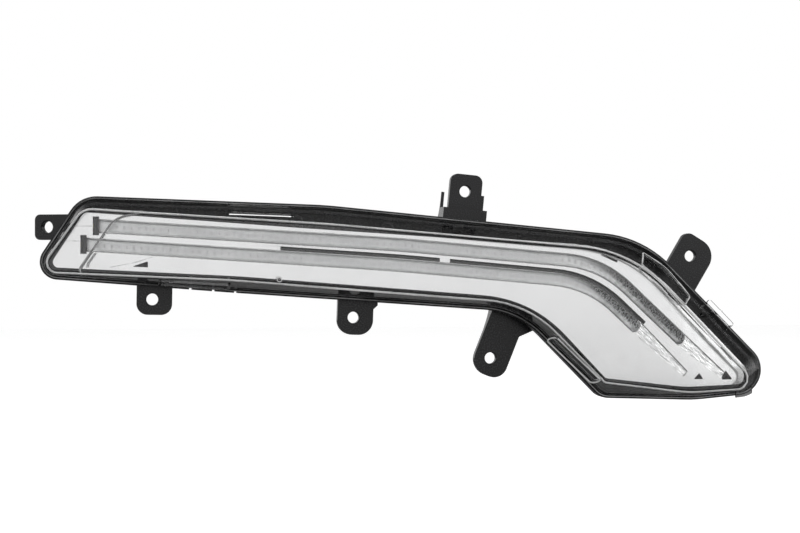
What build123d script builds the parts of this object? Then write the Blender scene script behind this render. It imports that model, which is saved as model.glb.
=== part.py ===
from build123d import *

import math
import os
from dataclasses import dataclass

# A daytime running light for the corner of a car's front bumper: a long low lamp whose
# tail bends down. The origin is the centre of the upper fixing hole, on the rear seating
# face of the fixing tabs. X runs from the nose to the tail, Y to the rear and Z up.
# All sizes are in millimetres. A depth is measured behind the lens face.

# Outline of the housing flange, clockwise from the top of the nose: x, z, corner radius
CORNERS = ["nose_top", "top", "shoulder", "tail_tip", "tail_bottom", "tail_heel", "instep", "bottom",
           "nose_bottom"]
FLANGE = [
    (-247.7, -5.1, 19.0),
    (-94.9, -10.0, 250.0),
    (116.1, -29.9, 74.0),
    (218.4, -131.3, 17.0),
    (150.5, -137.2, 100.0),
    (86.7, -135.0, 13.0),
    (31.1, -78.6, 58.0),
    (-156.8, -65.4, 600.0),
    (-280.7, -55.8, 11.0),
]

# How far each corner of the lens rim and of the bezel lies from the flange corner, and its radius
LENS_RIM = [
    (1.3, -7.9, 11.5),
    (-0.2, -12.1, 400.0),
    (-14.0, -8.5, 93.0),
    (-24.3, 1.8, 8.0),
    (-9.1, 5.4, 100.0),
    (-3.9, 10.7, 5.0),
    (-0.1, 5.3, 72.0),
    (0.0, 7.1, 600.0),
    (6.2, 2.6, 7.0),
]
BEZEL_EDGE = [
    (2.5, -10.6, 3.5),
    (-17.9, -15.1, 400.0),
    (-12.7, -9.0, 100.0),
    (-24.4, 5.2, 7.0),
    (-9.7, 9.4, 100.0),
    (-1.2, 13.9, 3.5),
    (4.6, 8.8, 84.0),
    (6.8, 10.2, 600.0),
    (13.9, 6.3, 3.5),
]

# Centre lines of the light guides: x, z and bend radius, from the nose to the tip
UPPER_PATH = [(-238.5, -24.1, 0.0), (-49.3, -35.5, 900.0), (82.5, -47.0, 70.0), (139.5, -98.4, 0.0)]
LOWER_PATH = [(-246.0, -35.5, 0.0), (-49.3, -48.3, 900.0), (74.4, -59.3, 70.0), (108.5, -90.0, 0.0)]
# Where the shallow end of each trough runs out beyond its guide's tip
UPPER_RUN_OUT = (168.0, -121.0)
LOWER_RUN_OUT = (141.0, -119.5)

# Flange and housing body
FLANGE_FRONT = -22.0
FLANGE_DEPTH = 8.5
LIP_WIDTH = 1.8
LIP_RADIUS = 0.8
GROOVE_WIDTH = 3.6
GROOVE_DEPTH = 6.0
INNER_LIP_STEP = 1.0
BODY_DEPTH = 27.5
BODY_INSET = 3.2
BODY_DRAFT = 2.8
HOUSING_WALL = 2.5
LEDGE_THICKNESS = 2.0
LEDGE_REACH = 4.5
FLANGE_REAR = FLANGE_FRONT + FLANGE_DEPTH
BODY_REAR = FLANGE_REAR + BODY_DEPTH
FLOOR_FRONT = BODY_REAR - HOUSING_WALL
INNER_EDGE = LIP_WIDTH + GROOVE_WIDTH + LIP_WIDTH
LEDGE_FRONT = FLANGE_REAR + 1.5
# Drain notches in the lower lip of the flange: distance along the edge that starts at the bottom corner
NOTCHES = [-5.2, 8.7, 23.1]
NOTCH_WIDTH = 1.8
NOTCH_DEPTH = 1.0
# A span of z that reaches past the whole lamp
ALL_Z = (min(z for _, z, _ in FLANGE) - 5, max(z for _, z, _ in FLANGE) + 5)

# Lens and its seal
FACE_HEIGHT = 26.0
FACE_RADIUS = 2000.0
FACE_CENTRE_X = -40.0
LENS_WALL = 3.0
FACE_WALL = 2.8
FACE_EDGE_RADIUS = 1.0
FOOT_GAP = 0.3
FOOT_RISE = 0.5
SEAL_THICKNESS = 2.0
SEAL_GAP = 0.1
# Rib on the inside of the face, as a path: x, z, bend radius
LENS_RIB = [(-248.4, -57.0, 0.0), (-231.1, -19.3, 28.0), (-208.0, -15.2, 0.0)]
LENS_RIB_WIDTH = 1.0
LENS_RIB_DEPTH = 0.9
# Raised rims on the skirt, seen from the front: a slot on the heel and a frame on the shoulder
HEEL_RIM = [(53.2, -91.6, 2.2), (82.6, -119.9, 2.2), (79.2, -123.3, 2.2), (49.8, -95.0, 2.2)]
SHOULDER_RIM = [(113.6, -40.0, 1.2), (130.5, -50.3, 30.0), (145.6, -68.7, 1.2), (139.0, -74.1, 1.2),
                (109.1, -47.9, 1.2)]
# Raised rims across the top and the bottom skirt: the lower and upper x of each
TOP_RIM = (-157.0, -117.0)
TOP_RIM_LOW = -35.0
BOTTOM_RIM = (-200.0, -156.0)
RIM_FRONT = -40.0
RIM_REAR = -24.5
RIM_WIDTH = 0.9
RIM_RISE = 0.9
BOX_RIM_WIDTH = 1.6
BOX_RIM_RISE = 1.4
GATE_X = -126.4
GATE_Z = -57.1
GATE_RADIUS = 1.6
GATE_RISE = 0.5
# Ears of the lens over the flange lip. On the shoulder's edge: start, end, reach beyond it and root inside it
EAR_THICKNESS = 2.0
EAR_GAP = 0.3
EAR_RADIUS = 1.4
EAR_START = 60.4
EAR_END = 83.9
EAR_REACH = 2.6
EAR_ROOT = 1.0
EAR_ARM_WIDTH = 1.6
EAR_ARM_ROOT = (61.0, 10.7)
EAR_ARM_BEND = (67.5, 3.0)
EAR_ARM_END = 72.3
# The ear round the tail's end: its limits along X, its top, reach beyond the flange and root inside it
TAIL_EAR_X = (179.0, 190.0)
TAIL_EAR_TOP = -125.0
TAIL_EAR_REACH = 1.2
TAIL_EAR_ROOT = 3.2
FACE_CROWN = FLANGE_FRONT - FACE_HEIGHT
FACE_CENTRE_Y = FACE_CROWN + FACE_RADIUS
FOOT_REAR = FLANGE_FRONT + GROOVE_DEPTH - SEAL_THICKNESS
FOOT_FRONT = FLANGE_FRONT - FOOT_RISE

# Bezel with its two troughs
BEZEL_DEPTH = 8.0
BEZEL_PLATE = 2.0
RETURN_INSET = 1.0
RETURN_WALL = 1.8
TROUGH_WALL = 1.5
TROUGH_FLOOR = 1.5
GUIDE_GAP = 0.4
RUN_OUT_DEPTH = 1.2
RUN_OUT_TAPER = 2.4
SLOT_WIDTH = 2.4
SLOT_DEPTH = 4.0
SLOT_START_X = -125.0
SLOT_BRIDGE_X = -21.0
SLOT_BRIDGE_LENGTH = 6.5
# Slots through the bezel's plate: x, z, length, width, angle
PLATE_SLOTS = [
    (-197.0, -22.5, 4.5, 0.7, -4.0),
    (-94.9, -28.5, 7.0, 0.7, -5.0),
    (88.0, -43.6, 11.8, 1.5, -22.4),
    (133.1, -70.9, 12.4, 1.0, -39.8),
    (169.9, -106.0, 11.2, 1.9, -46.0),
]
PLATE_SLOT_DEPTH = 10.0
# Shaped openings in the plate: a wedge at the nose and one at the end of each run-out
PLATE_WEDGES = [
    [(-217.4, -49.5, 0.5), (-206.5, -45.9, 0.5), (-206.5, -50.3, 0.5)],
    [(146.4, -122.8, 0.4), (150.6, -118.8, 0.4), (153.4, -122.8, 0.4)],
    [(166.4, -123.4, 0.4), (169.3, -117.2, 0.4), (174.2, -123.4, 0.4)],
]
# Fine grooves in the plate, as paths: x, z, bend radius
PLATE_GROOVES = [
    [(-252.4, -24.2, 0.0), (-240.5, -24.2, 0.0)],
    [(-257.4, -33.4, 0.0), (-248.4, -33.4, 0.0)],
    [(-229.6, -49.6, 0.0), (-214.0, -46.6, 20.0), (-204.0, -43.4, 0.0)],
]
GROOVE_LINE_WIDTH = 0.6
GROOVE_LINE_DEPTH = 0.9

# Light guides
GUIDE_WIDTH = 8.0
GUIDE_THICKNESS = 8.0
GUIDE_DEPTH = 9.0
GUIDE_TIP_RADIUS = 3.4
TOOTH_PITCH = 4.5
GUIDE_CROWN_RADIUS = 2.2
TOOTH_SPAN = 1.6
TOOTH_WIDTH = 1.6
TOOTH_DEPTH = 0.5
TOOTH_END_MARGIN = 9.0
GUIDE_REAR = GUIDE_DEPTH + GUIDE_THICKNESS
TROUGH_DEPTH = GUIDE_REAR + GUIDE_GAP

# Bezel lugs with their screws: corner where the flange edge starts, distance along it, inset, lug length
BEZEL_LUGS = [
    ("nose_top", 136.0, 12.2, 10.2),
    ("top", 43.0, 11.9, 9.4),
    ("shoulder", 46.0, 12.0, 9.2),
    ("shoulder", 94.0, 11.6, 9.0),
]
LUG_WIDTH = 8.0
LUG_THICKNESS = 2.0
BOSS_RADIUS = 3.2
BOSS_LENGTH = 8.0
# Bezel pegs along the bottom: corner where the edge starts, distance along it
BEZEL_PEGS = [("instep", 60.0), ("instep", 130.0), ("bottom", 60.0)]
PEG_RADIUS = 1.5
PEG_LENGTH = 3.5

# Screws
SCREW_RADIUS = 1.3
SCREW_HEAD_RADIUS = 2.5
SCREW_HEAD_HEIGHT = 2.0
SCREW_LENGTH = 9.0
SCREW_HOLE_GAP = 0.05
CLEARANCE_HOLE_GAP = 0.35
BOARD_SCREW_RADIUS = 1.1
BOARD_SCREW_HEAD_RADIUS = 1.9
BOARD_SCREW_HEAD_HEIGHT = 1.3
BOARD_SCREW_LENGTH = 4.2

# Fixing tabs
HOLE_RADIUS = 3.75
TAB_THICKNESS = 4.5
TAB_RIB = 2.0
TAB_RIB_DEPTH = 11.0
TAB_PAD_RADIUS = 8.5
BLOCK_RIB_START = 1.5
HOLE_CHAMFER = 0.5

# Light sources at the nose
LED_GAP = 0.4
LED_SIDE = 3.0
LED_HEIGHT = 1.0
LED_BOARD_HEIGHT = 8.0
LED_BOARD_THICKNESS = 1.6
LED_BOARD_NECK_GAP = 0.5
LED_EDGE_MARGIN = 2.2
LED_SCREW_PLACE = 13.0
PAD_THICKNESS = 2.5
HOLDER_GAP = 0.2
HOLDER_WALL = 1.2
HOLDER_LENGTH = 3.0
HOLDER_SETBACK = -1.1
HOLDER_WEB = 2.0

# Heat sink behind the nose
SINK_BASE = 3.0
SINK_RIGHT = -212.0
SINK_TOP = -20.5
SINK_BOTTOM = -46.5
SINK_SCREW_INSET = 3.9
SINK_OUTLINE = [(-247.5, SINK_TOP, 2.5), (SINK_RIGHT, SINK_TOP, 2.5), (SINK_RIGHT, SINK_BOTTOM, 2.5),
                (-263.0, SINK_BOTTOM, 2.5)]
SINK_SCREWS = [
    (SINK_OUTLINE[0][0] + 3.5, SINK_TOP - SINK_SCREW_INSET),
    (SINK_RIGHT - SINK_SCREW_INSET, SINK_TOP - SINK_SCREW_INSET),
    (SINK_RIGHT - SINK_SCREW_INSET, SINK_BOTTOM + SINK_SCREW_INSET),
    (SINK_OUTLINE[3][0] + 6.5, SINK_BOTTOM + SINK_SCREW_INSET),
]
FIN_HEIGHT = 11.0
FIN_THICKNESS = 1.8
FIN_PITCH = 4.8
NECK_FRONT = -5.0
NECK_STEP = 4.0
NECK_LOWER_EDGE = -41.0
NECK_UPPER_EDGE = -30.2
NECK_LENGTH_X = 11.0
NECK_GAP = 1.5
MODULE_GAP = 1.5
MODULE_REACH = 8.0
GASKET_THICKNESS = 1.0

# Driver board
BOARD_LENGTH = 70.0
BOARD_HEIGHT = 22.0
BOARD_THICKNESS = 1.6
BOARD_GAP = 2.0
POST_HEIGHT = 2.0
POST_RADIUS = 2.4
POST_INSET = 3.0

# Driver compartment on the rear of the body, round the board
COVER_TILT = 3.05
COVER_WALL = 2.2
COVER_RIM_X = 9.0
COVER_RIM_Z = 5.5
COVER_FLANGE = 3.0
COVER_DEPTH = 11.0
COVER_SCREW_INSET = 4.2
SINK_TO_COVER = 1.0
BAY_LENGTH = BOARD_LENGTH + 2 * BOARD_GAP
BAY_HEIGHT = BOARD_HEIGHT + 2 * BOARD_GAP
COVER_LENGTH = BAY_LENGTH + 2 * COVER_RIM_X
COVER_HEIGHT = BAY_HEIGHT + 2 * COVER_RIM_Z
COVER_X = SINK_RIGHT + SINK_TO_COVER + COVER_LENGTH / 2
COVER_Z = -36.0
SOCKET_X = 20.0
SOCKET_LENGTH = 24.0
SOCKET_HEIGHT = 14.0
SOCKET_DEPTH = 13.0
SOCKET_WALL = 2.2
PIN_PITCH = 4.0
PIN_COUNT = 4
PIN_WIDTH = 1.2
PIN_THICKNESS = 0.8
PIN_REACH = 6.0
PIN_GAP = 0.05

# Ribbons and the parts on the driver board: each place is from the board's centre
FLEX_THICKNESS = 0.3
FLEX_WIDTH = 4.0
FLEX_RADIUS = 1.6
FLEX_DROP = 1.4
FLEX_TURN_X = -232.0
FLEX_RUN_Y = 1.0
FLEX_END_INSET = 7.5
INDUCTOR_RADIUS = 5.5
INDUCTOR_HEIGHT = 6.5
INDUCTOR_X = -8.5
CAPACITOR_RADIUS = 3.5
CAPACITOR_HEIGHT = 8.0
CAPACITOR_X = 3.0
CHIP_SIDE = 7.0
CHIP_LEGS = 5
CHIP_X = -20.0

# Vent
VENT_X = 118.0
VENT_Z = -88.0
VENT_HOLE_RADIUS = 2.5
VENT_BOSS_RADIUS = 5.0
VENT_BOSS_HEIGHT = 3.0
MEMBRANE_THICKNESS = 0.3
CAP_GAP = 0.1
CAP_WALL = 1.8
CAP_HEIGHT = 5.6

# Rear ribs
RIB_THICKNESS = 1.6
RIB_HEIGHT = 2.5
RIB_INSET = 9.0
RIB_PITCH = 28.0
RIB_GAP = 2.0


# Outlines

def moved_corner(before, corner, after, distance):
    """The corner's place and radius when both its edges move to the right of travel by distance."""
    ax, az = corner[0] - before[0], corner[1] - before[1]
    bx, bz = after[0] - corner[0], after[1] - corner[1]
    a, b = math.hypot(ax, az), math.hypot(bx, bz)
    n1 = (az / a, -ax / a)
    n2 = (bz / b, -bx / b)
    share = distance / (1 + n1[0] * n2[0] + n1[1] * n2[1])
    turns_right = ax * bz - az * bx < 0
    radius = corner[2] - distance if turns_right else corner[2] + distance
    return (corner[0] + share * (n1[0] + n2[0]), corner[1] + share * (n1[1] + n2[1]), max(radius, 0.5))


def inset(corners, distance):
    """A closed clockwise outline moved inward."""
    befores = corners[-1:] + corners[:-1]
    afters = corners[1:] + corners[:1]
    return [moved_corner(b, c, a, distance) for b, c, a in zip(befores, corners, afters)]


def shifted(corners, shifts):
    """The outline whose corners lie at the given shifts from those of another, with their own radii."""
    return [(x + dx, z + dz, radius) for (x, z, _), (dx, dz, radius) in zip(corners, shifts)]


def outline(corners):
    """The face inside a closed outline, with x along X and z along Y of the sketch."""
    line = FilletPolyline(*[(x, z) for x, z, _ in corners], radius=[r for _, _, r in corners], close=True)
    return make_face(line)


def side_of_path(path, distance):
    """An open path moved to the right of travel."""
    (x0, z0, _), (x1, z1, _) = path[0], path[1]
    (x2, z2, _), (x3, z3, _) = path[-2], path[-1]
    a, b = math.hypot(x1 - x0, z1 - z0), math.hypot(x3 - x2, z3 - z2)
    start = (x0 + distance * (z1 - z0) / a, z0 - distance * (x1 - x0) / a)
    end = (x3 + distance * (z3 - z2) / b, z3 - distance * (x3 - x2) / b)
    bends = [moved_corner(p, c, n, distance) for p, c, n in zip(path, path[1:], path[2:])]
    return start, bends, end


def band(path, half_width, tip_radius=0.0, end_half_width=None):
    """The face of a strip along a path, with rounded corners at its far end."""
    end_half_width = half_width if end_half_width is None else end_half_width
    left_start, left_bends, _ = side_of_path(path, -half_width)
    right_start, right_bends, _ = side_of_path(path, half_width)
    left_end = side_of_path(path, -end_half_width)[2]
    right_end = side_of_path(path, end_half_width)[2]
    corners = [(*left_start, 0.0), *left_bends, (*left_end, tip_radius)]
    corners += [(*right_end, tip_radius), *reversed(right_bends), (*right_start, 0.0)]
    return outline(corners)


def path_line(path):
    """The centre line of a path as a wire in the sketch."""
    return FilletPolyline(*[(x, z) for x, z, _ in path], radius=[r for _, _, r in path[1:-1]])


def edge_point(corner, along, inward):
    """The point beside the flange edge that starts at a corner, and the angle of that edge."""
    edge = CORNERS.index(corner)
    x0, z0, _ = FLANGE[edge]
    x1, z1, _ = FLANGE[(edge + 1) % len(FLANGE)]
    length = math.hypot(x1 - x0, z1 - z0)
    ux, uz = (x1 - x0) / length, (z1 - z0) / length
    return x0 + along * ux + inward * uz, z0 + along * uz - inward * ux, math.degrees(math.atan2(uz, ux))


# Solids from outlines

def slab(face, front, rear):
    """A face drawn in X and Z, extruded between two places along Y."""
    return extrude(Plane.XZ.offset(-rear) * face, amount=rear - front, dir=(0, -1, 0))


def tapered(front_corners, rear_corners, front, rear):
    """A solid whose outline changes evenly between two places along Y."""
    front_face = Plane.XZ.offset(-front) * outline(front_corners)
    rear_face = Plane.XZ.offset(-rear) * outline(rear_corners)
    return loft([front_face, rear_face], ruled=True)


def face_y(x, depth):
    """Where the surface that lies at a depth behind the lens face crosses x."""
    return FACE_CENTRE_Y - math.sqrt((FACE_RADIUS - depth) ** 2 - (x - FACE_CENTRE_X) ** 2)


def behind_face(depth, rear=None):
    """The room between the surface at a depth behind the lens face and another depth, or the lamp's rear."""
    xs = [x for x, _, _ in FLANGE]
    left, right = min(xs) - 5, max(xs) + 5
    front = ThreePointArc((left, face_y(left, depth)), (FACE_CENTRE_X, face_y(FACE_CENTRE_X, depth)),
                          (right, face_y(right, depth)))
    if rear is None:
        back = Polyline((right, face_y(right, depth)), (right, BODY_REAR), (left, BODY_REAR),
                        (left, face_y(left, depth)))
        section = make_face(front + back)
    else:
        back = ThreePointArc((left, face_y(left, rear)), (FACE_CENTRE_X, face_y(FACE_CENTRE_X, rear)),
                             (right, face_y(right, rear)))
        sides = [Line(front @ 0, back @ 0), Line(front @ 1, back @ 1)]
        section = make_face([front, back, *sides])
    return extrude(Pos(0, 0, ALL_Z[0]) * section, amount=ALL_Z[1] - ALL_Z[0])


def box(x, y, z):
    """A box given by its lower and upper limits along each axis."""
    centre = [sum(pair) / 2 for pair in (x, y, z)]
    return Pos(*centre) * Box(*[pair[1] - pair[0] for pair in (x, y, z)])


def on_cover(shape):
    """Places a shape drawn round the driver compartment's centre."""
    return Pos(COVER_X, 0, COVER_Z) * Rot(0, COVER_TILT, 0) * shape


def at(x, z, shape):
    """Places a shape drawn round the Y axis."""
    return Pos(x, 0, z) * shape


def screw(seat, direction, radius=SCREW_RADIUS, head_radius=SCREW_HEAD_RADIUS,
          head_height=SCREW_HEAD_HEIGHT, length=SCREW_LENGTH):
    """A screw along Y: its head bears on the seat, and its shank runs from there along direction."""
    shank = slab(Circle(radius), *sorted((seat, seat + direction * length)))
    head = slab(Circle(head_radius), *sorted((seat, seat - direction * head_height)))
    return shank + head


# Fixing tabs

@dataclass
class Tab:
    """A fixing tab: its hole, the way it points, its plate, the flare and the block at its root.

    All lengths are from the hole. The block is given by its width, its side shift and where it starts.
    """
    x: float
    z: float
    points: float
    width: float
    reach: float
    root: float
    side: float
    radii: tuple
    swing: float = 0.0
    flare_start: float = 0.0
    flare: float = 0.0
    block: tuple = ()

    def place(self, shape):
        """Places a shape drawn with the tab pointing along X from its hole."""
        return Pos(self.x, 0, self.z) * Rot(0, 0, self.swing) * Rot(0, -self.points, 0) * shape


TABS = {
    "upper": Tab(0.0, 0.0, 84.6, 21.4, 11.2, 24.0, -0.3, (5.0, 5.0),
                 block=(28.8, 0.7, 11.8)),
    "right": Tab(154.2, -42.1, 59.0, 26.0, 13.3, 24.0, -1.6, (5.5, 12.0)),
    "lower_right": Tab(16.9, -109.2, -112.0, 23.4, 11.5, 34.0, 1.0, (9.0, 11.0),
                       flare_start=20.0, flare=7.0),
    "lower_centre": Tab(-74.0, -82.1, -92.0, 23.4, 11.2, 18.0, 1.2, (9.5, 9.5),
                        flare_start=5.6, flare=2.7),
    "lower_left": Tab(-202.9, -70.0, -91.0, 22.4, 9.8, 15.0, 1.3, (7.0, 7.0)),
    "left": Tab(-266.5, -24.3, 180.0, 16.0, 8.4, 15.0, 0.1, (3.5, 3.5), -25.0),
}


def tab_blank(tab):
    """The plate of a tab with its two rear ribs, reaching into the body wall."""
    low, high = tab.side - tab.width / 2, tab.side + tab.width / 2
    corners = [(tab.reach, high, tab.radii[0]), (tab.reach, low, tab.radii[1]), (-tab.root, low, 0.0)]
    if tab.flare:
        wide = high + tab.flare
        corners += [(-tab.root, wide, 0.0), (-tab.flare_start - tab.flare, wide, 0.0)]
        corners += [(-tab.flare_start, high, 0.0)]
    else:
        corners += [(-tab.root, high, 0.0)]
    blank = slab(outline(corners), -TAB_THICKNESS, 0)
    rib_end = -min(TAB_PAD_RADIUS, tab.root - 6)
    if tab.block:
        width, side, start = tab.block
        low, high = side - width / 2, side + width / 2
        rib_end = -BLOCK_RIB_START
        blank += box((-tab.root, -start), (FLANGE_REAR, 0), (low, high))
    profile = make_face([
        Line((-tab.root, TAB_RIB_DEPTH), (-tab.root, -1)),
        Line((-tab.root, -1), (rib_end, -1)),
        Line((rib_end, -1), (rib_end, 0)),
        ThreePointArc((rib_end, 0), (rib_end - (tab.root + rib_end) * 0.68, TAB_RIB_DEPTH * 0.32),
                      (-tab.root, TAB_RIB_DEPTH)),
    ])
    for edge in (low, high - TAB_RIB):
        blank += Pos(0, 0, edge) * extrude(profile, amount=TAB_RIB)
    return tab.place(blank)


def tab_hole(tab):
    """The screw hole of a tab, with a small chamfer in front."""
    hole = slab(Circle(HOLE_RADIUS), -TAB_THICKNESS - 1, 1)
    mouth = Pos(0, -TAB_THICKNESS + HOLE_CHAMFER / 2, 0) * Rot(90, 0, 0) * Cone(
        HOLE_RADIUS, HOLE_RADIUS + HOLE_CHAMFER, HOLE_CHAMFER)
    return tab.place(hole + mouth)


# Housing

def bezel_outline(distance=0.0):
    """The bezel's outline, moved inward by distance."""
    return outline(inset(shifted(FLANGE, BEZEL_EDGE), distance))


def lug_place(lug, shape):
    """Places a shape drawn round a bezel lug's screw, with X along the flange edge and Z outward."""
    corner, along, inward, _ = lug
    x, z, angle = edge_point(corner, along, inward)
    return Pos(x, 0, z) * Rot(0, -angle, 0) * shape


def peg_points():
    """The centres of the bezel's pegs, in the middle of its return wall."""
    corners = inset(shifted(FLANGE, BEZEL_EDGE), RETURN_INSET + RETURN_WALL / 2)
    points = []
    for corner, along in BEZEL_PEGS:
        edge = CORNERS.index(corner)
        (x0, z0, _), (x1, z1, _) = corners[edge], corners[(edge + 1) % len(corners)]
        share = along / math.hypot(x1 - x0, z1 - z0)
        points.append((x0 + share * (x1 - x0), z0 + share * (z1 - z0)))
    return points


def cover_screw_spots():
    """The four screw places of the rear cover, round its centre."""
    x_place = COVER_LENGTH / 2 - COVER_SCREW_INSET
    z_place = COVER_HEIGHT / 2 - COVER_SCREW_INSET
    return [(x, z) for x in (-x_place, x_place) for z in (-z_place, z_place)]


def rear_screw_set(shape, sink_shape):
    """A shape at each screw of the rear cover, and another at each screw of the heat sink."""
    cover = [on_cover(Pos(x, 0, z) * shape) for x, z in cover_screw_spots()]
    return cover + [at(x, z, sink_shape) for x, z in SINK_SCREWS]


def sink_opening(gap):
    """The outline of the heat sink's neck where it passes through the floor, with a gap all round."""
    right = lower_pad_rear() + NECK_LENGTH_X
    return Pos((lower_pad_rear() + right) / 2, (NECK_LOWER_EDGE + NECK_UPPER_EDGE) / 2) * RectangleRounded(
        NECK_LENGTH_X + 2 * gap, NECK_UPPER_EDGE - NECK_LOWER_EDGE + 2 * gap, 0.8 + gap)


def housing_ribs():
    """Stiffening ribs on the rear of the body: one along the lamp, and cross ribs."""
    spine = [UPPER_PATH[0], (-49.3, -42.0, 900.0), (78.0, -54.0, 70.0), (176.0, -136.0, 0.0)]
    ribs = slab(band(spine, RIB_THICKNESS / 2), BODY_REAR - 1, BODY_REAR + RIB_HEIGHT)
    line = path_line(spine)
    count = int(line.length / RIB_PITCH)
    for number in range(1, count + 1):
        here, way = line @ (number * RIB_PITCH / line.length), line % (number * RIB_PITCH / line.length)
        rib = box((-RIB_THICKNESS / 2, RIB_THICKNESS / 2), (BODY_REAR - 1, BODY_REAR + RIB_HEIGHT), ALL_Z)
        ribs += Pos(here.X, 0, here.Y) * Rot(0, -math.degrees(math.atan2(way.Y, way.X)), 0) * rib
    ribs &= slab(outline(inset(FLANGE, RIB_INSET)), BODY_REAR - 1, BODY_REAR + RIB_HEIGHT)
    rear = BODY_REAR + RIB_HEIGHT + 1
    half_cover = COVER_LENGTH / 2 + RIB_GAP
    ribs -= on_cover(box((-half_cover, half_cover), (BODY_REAR, rear), (-COVER_HEIGHT, COVER_HEIGHT)))
    ribs -= box((FLANGE[-1][0], SINK_RIGHT + RIB_GAP), (BODY_REAR, rear), ALL_Z)
    return ribs - at(VENT_X, VENT_Z, slab(Circle(VENT_BOSS_RADIUS + CAP_WALL + RIB_GAP), BODY_REAR, rear))


def housing():
    """The black moulding: flange with its seal groove, deep body, ledge, bosses and six fixing tabs."""
    body = slab(outline(FLANGE), FLANGE_FRONT, FLANGE_REAR)
    body = fillet(body.faces().sort_by(Axis.Y)[0].edges(), LIP_RADIUS)
    body += tapered(inset(FLANGE, BODY_INSET), inset(FLANGE, BODY_INSET + BODY_DRAFT), FLANGE_REAR, BODY_REAR)
    for tab in TABS.values():
        body += tab_blank(tab)
    inner = BODY_INSET + HOUSING_WALL
    hollow = slab(outline(inset(FLANGE, INNER_EDGE)), FLANGE_FRONT, FLANGE_REAR)
    hollow += tapered(inset(FLANGE, inner), inset(FLANGE, inner + BODY_DRAFT), FLANGE_REAR, FLOOR_FRONT)
    body -= hollow
    groove = outline(inset(FLANGE, LIP_WIDTH)) - outline(inset(FLANGE, LIP_WIDTH + GROOVE_WIDTH))
    body -= slab(groove, FLANGE_FRONT, FLANGE_FRONT + GROOVE_DEPTH)
    body -= slab(outline(inset(FLANGE, LIP_WIDTH)), FLANGE_FRONT, FLANGE_FRONT + INNER_LIP_STEP)
    ledge = slab(outline(inset(FLANGE, inner - 1)), LEDGE_FRONT, LEDGE_FRONT + LEDGE_THICKNESS)
    body += ledge - slab(bezel_outline(LEDGE_REACH), LEDGE_FRONT, LEDGE_FRONT + LEDGE_THICKNESS)
    body += housing_ribs()
    for lug in BEZEL_LUGS:
        body += lug_place(lug, slab(Circle(BOSS_RADIUS), LEDGE_FRONT, LEDGE_FRONT + BOSS_LENGTH))
    boss = slab(Circle(BOSS_RADIUS), FLOOR_FRONT - BOSS_LENGTH, BODY_REAR)
    for rear_boss in rear_screw_set(boss, boss):
        body += rear_boss
    body += at(VENT_X, VENT_Z, slab(Circle(VENT_BOSS_RADIUS), BODY_REAR - 1, BODY_REAR + VENT_BOSS_HEIGHT))
    return body - housing_holes()


def housing_holes():
    """Everything that is cut through the housing: tab holes, screw holes, bay, neck, vent and peg holes."""
    pilot = SCREW_RADIUS + SCREW_HOLE_GAP
    holes = [tab_hole(tab) for tab in TABS.values()]
    depth = SCREW_LENGTH + 0.5 - LUG_THICKNESS
    holes += [lug_place(lug, slab(Circle(pilot), LEDGE_FRONT - 1, LEDGE_FRONT + depth)) for lug in BEZEL_LUGS]
    rear_hole = slab(Circle(pilot), BODY_REAR - depth, BODY_REAR + 1)
    holes += rear_screw_set(rear_hole, rear_hole)
    holes += [at(x, z, slab(Circle(PEG_RADIUS + GUIDE_GAP / 2), LEDGE_FRONT - 1, LEDGE_FRONT + 3))
              for x, z in peg_points()]
    holes.append(on_cover(slab(RectangleRounded(BAY_LENGTH, BAY_HEIGHT, 2), FLOOR_FRONT - 1, BODY_REAR + 1)))
    holes.append(slab(sink_opening(NECK_GAP), FLOOR_FRONT - 1, BODY_REAR + 1))
    vent = slab(Circle(VENT_HOLE_RADIUS), FLOOR_FRONT - 1, BODY_REAR + VENT_BOSS_HEIGHT + 1)
    holes.append(at(VENT_X, VENT_Z, vent))
    left, right = lower_pad_rear() - MODULE_GAP, UPPER_PATH[0][0] + MODULE_REACH
    top, bottom = board_span(UPPER_PATH)[1] + MODULE_GAP, NECK_LOWER_EDGE - MODULE_GAP
    module = outline([(left, NECK_UPPER_EDGE + MODULE_GAP, 0), (upper_pad_rear() - MODULE_GAP, top, 0),
                      (right, top, 0), (right, bottom, 0), (left, bottom, 0)])
    holes.append(slab(module, LEDGE_FRONT - 1, LEDGE_FRONT + LEDGE_THICKNESS + 1))
    for along in NOTCHES:
        x, z, angle = edge_point("bottom", along, 0)
        notch = slab(Rectangle(NOTCH_WIDTH, 2 * NOTCH_DEPTH), FLANGE_FRONT - 1, FLANGE_REAR + 1)
        holes.append(at(x, z, Rot(0, -angle, 0) * notch))
    return holes


# Seal and lens

def lens_seal():
    """The bead that fills the groove's floor, under the lens foot."""
    rear = FLANGE_FRONT + GROOVE_DEPTH
    outer = outline(inset(FLANGE, LIP_WIDTH + SEAL_GAP))
    bead = outer - outline(inset(FLANGE, LIP_WIDTH + GROOVE_WIDTH - SEAL_GAP))
    return slab(bead, rear - SEAL_THICKNESS, rear)


def lens_block(wall, depth):
    """The room inside a surface that lies behind the lens skin by wall at the sides and by depth in front."""
    foot = inset(FLANGE, LIP_WIDTH + FOOT_GAP)
    rim = shifted(FLANGE, LENS_RIM)
    top = FACE_CROWN - 2
    crown = []
    for (x0, z0, r0), (x1, z1, r1) in zip(foot, rim):
        share = (top - FOOT_FRONT) / (face_y(x1, 0) - FOOT_FRONT)
        crown.append((x0 + share * (x1 - x0), z0 + share * (z1 - z0), max(r0 + share * (r1 - r0), 1.0)))
    block = slab(outline(inset(foot, wall)), FOOT_FRONT, FOOT_REAR)
    block += tapered(inset(crown, wall), inset(foot, wall), top, FOOT_FRONT)
    return block & behind_face(depth)


def lens_skin(rise, tool):
    """The part of a tool that lies from a rise above the lens's outside to 1 mm inside its wall."""
    return (lens_block(-rise, -rise) - lens_block(1, 1)) & tool


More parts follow.
